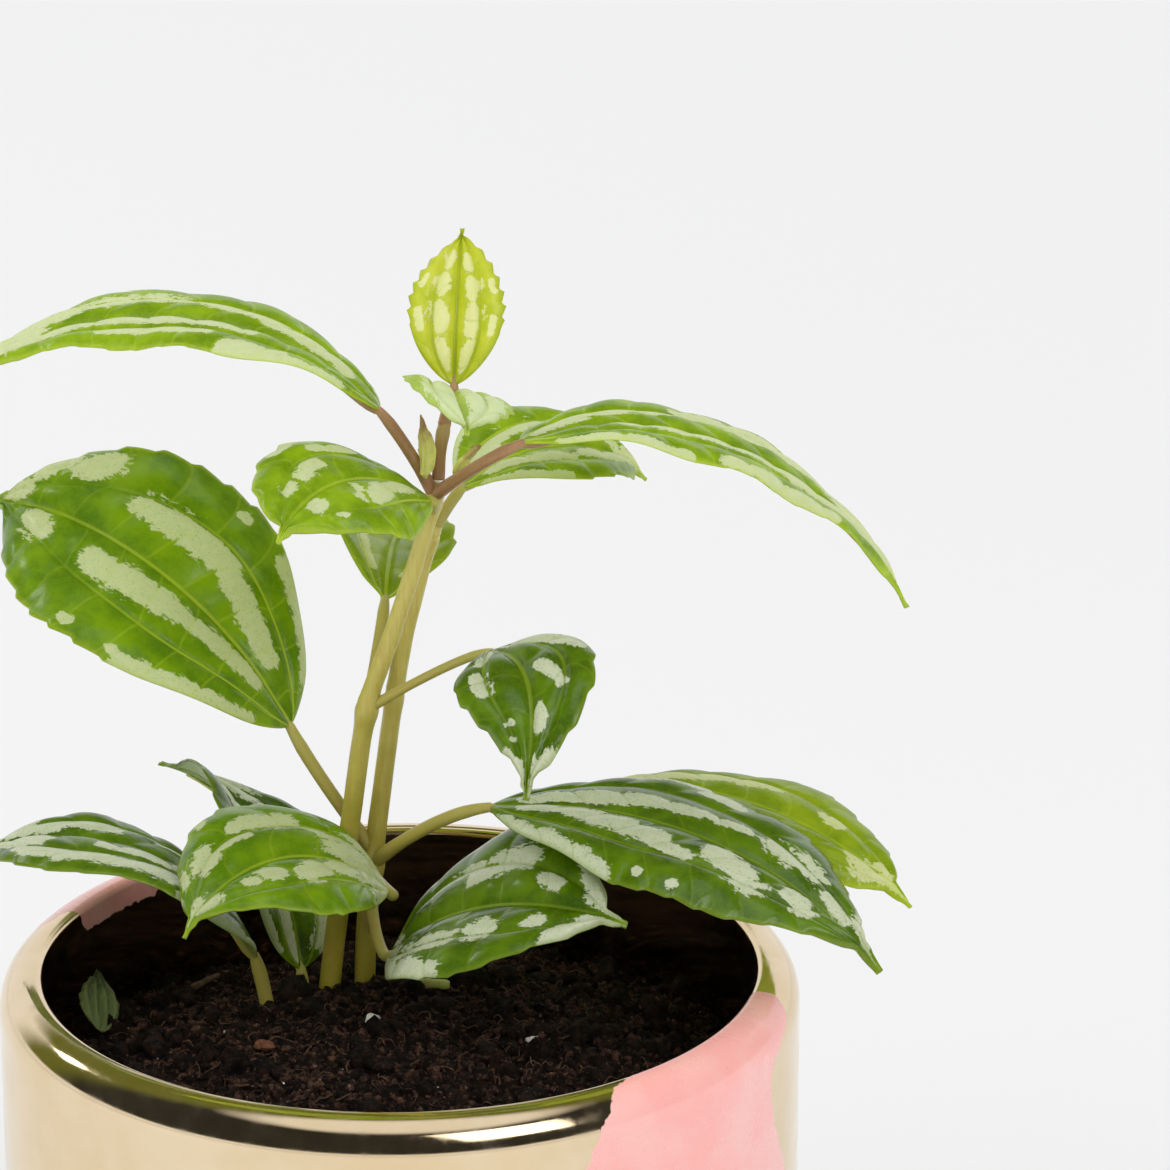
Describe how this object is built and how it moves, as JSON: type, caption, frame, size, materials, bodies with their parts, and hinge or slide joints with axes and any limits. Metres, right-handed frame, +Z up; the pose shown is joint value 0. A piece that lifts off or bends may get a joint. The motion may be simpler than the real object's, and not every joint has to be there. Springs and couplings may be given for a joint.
{
  "type": "potted aluminum plant",
  "caption": "Aluminum plant with silver-patched, three-veined leaves on slender stems, rooted in soil in a round glazed pot with gold lustre and pink patches.",
  "frame": {"origin": "centre of the pot's flat underside, on the surface it stands on", "axes": "+Z up along the pot's axis; -Y towards the side the plant is seen from, +X to that viewer's right"},
  "size_m": [0.1433, 0.12, 0.2163],
  "materials": {
    "pot_glaze": "gloss gold lustre glaze with satin pink patches",
    "soil": "loose dark potting mix",
    "stem": "satin olive green, brownish at the joints",
    "root": "matte pale brown",
    "leaf": "glossy green with silver patches",
    "young_leaf": "satin yellow-green",
    "perlite": "matte white",
    "bark": "matte brown"
  },
  "bodies": {
    "root": {"pot": "pot_glaze", "soil": "soil", "stem_a": "stem", "stem_b": "stem", "shoot": "stem", "old_stalk": "stem", "roots_a": "root", "roots_b": "root", "stipule_left": "young_leaf", "stipule_right": "young_leaf", "perlite_chunk": "perlite", "pale_stick": "perlite", "bark_chip": "bark", "twig": "bark", "leaf_top_upright": "young_leaf", "leaf_top_folded": "young_leaf", "leaf_upper_left": "leaf", "leaf_upper_right": "leaf", "leaf_upper_right_back": "leaf", "leaf_upper_front": "leaf", "leaf_upper_back": "leaf", "leaf_middle_right": "leaf", "leaf_large_left": "leaf", "leaf_low_right_front": "leaf", "leaf_low_right_back": "leaf", "leaf_low_front_right": "leaf", "leaf_low_front_left": "leaf", "leaf_soil_left": "leaf", "leaf_soil_back_left": "leaf", "leaf_scrap": "leaf"}
  },
  "joints": []
}
